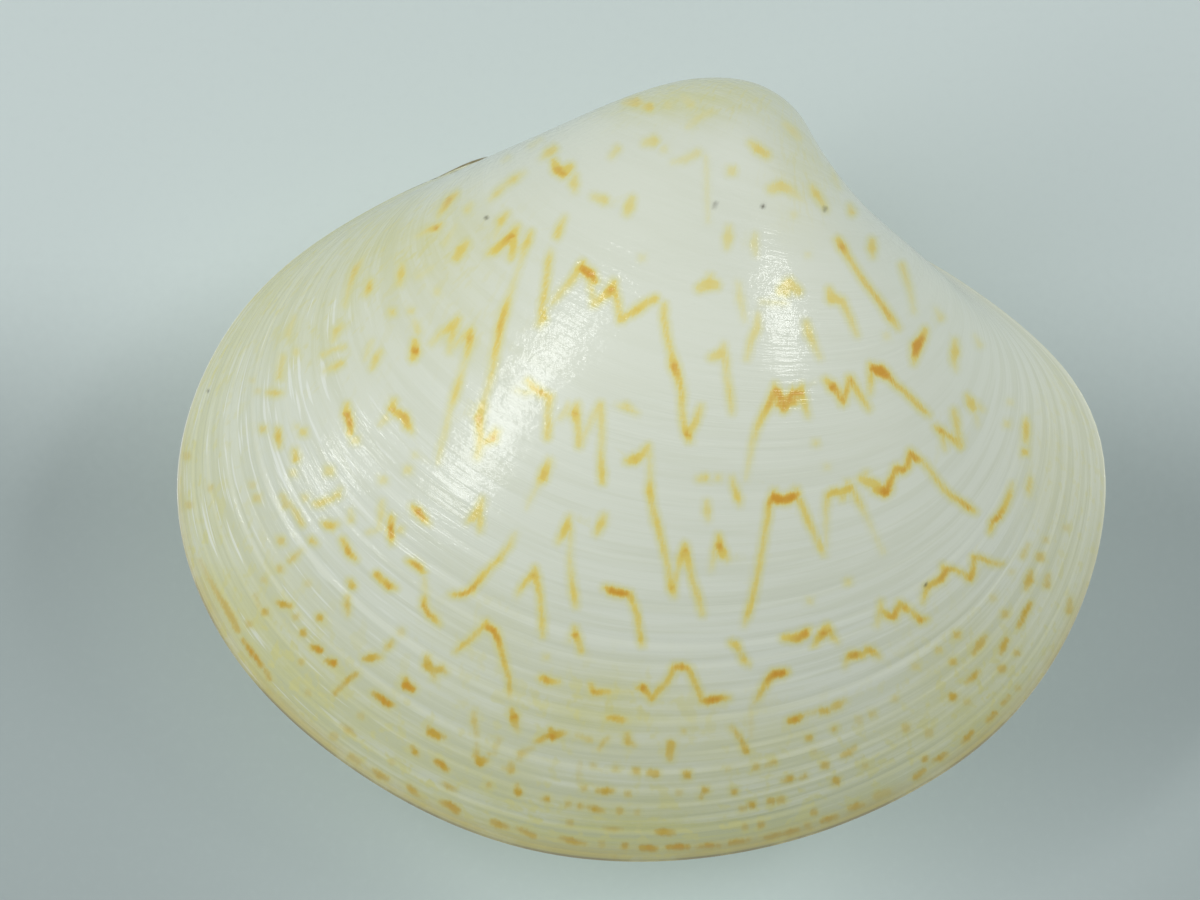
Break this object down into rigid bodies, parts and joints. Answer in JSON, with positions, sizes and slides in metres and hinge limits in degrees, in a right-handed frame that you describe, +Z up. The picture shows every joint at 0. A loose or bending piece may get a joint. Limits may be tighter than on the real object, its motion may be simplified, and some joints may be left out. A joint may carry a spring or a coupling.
{
  "type": "pitar pellucidus shell",
  "caption": "Closed, inflated oval clam shell with both valves and the horny ligament behind its forward-leaning beaks, lying on one valve.",
  "frame": {"origin": "middle of the small flat resting spot under the left valve, on the surface it lies on", "axes": "+Z up, +X to the front end, which the beaks lean to, +Y to the hinge, so the belly faces -Y"},
  "size_m": [0.0357, 0.03, 0.0219],
  "materials": {
    "shell_right": "glossy cream shell with fine growth lines and ochre tent marks",
    "shell_left": "glossy cream shell with fine growth lines and ochre tent marks",
    "ligament": "dry, horny, olive brown, satin"
  },
  "bodies": {
    "root": {"right_valve": "shell_right", "left_valve": "shell_left", "ligament": "ligament"}
  },
  "joints": []
}
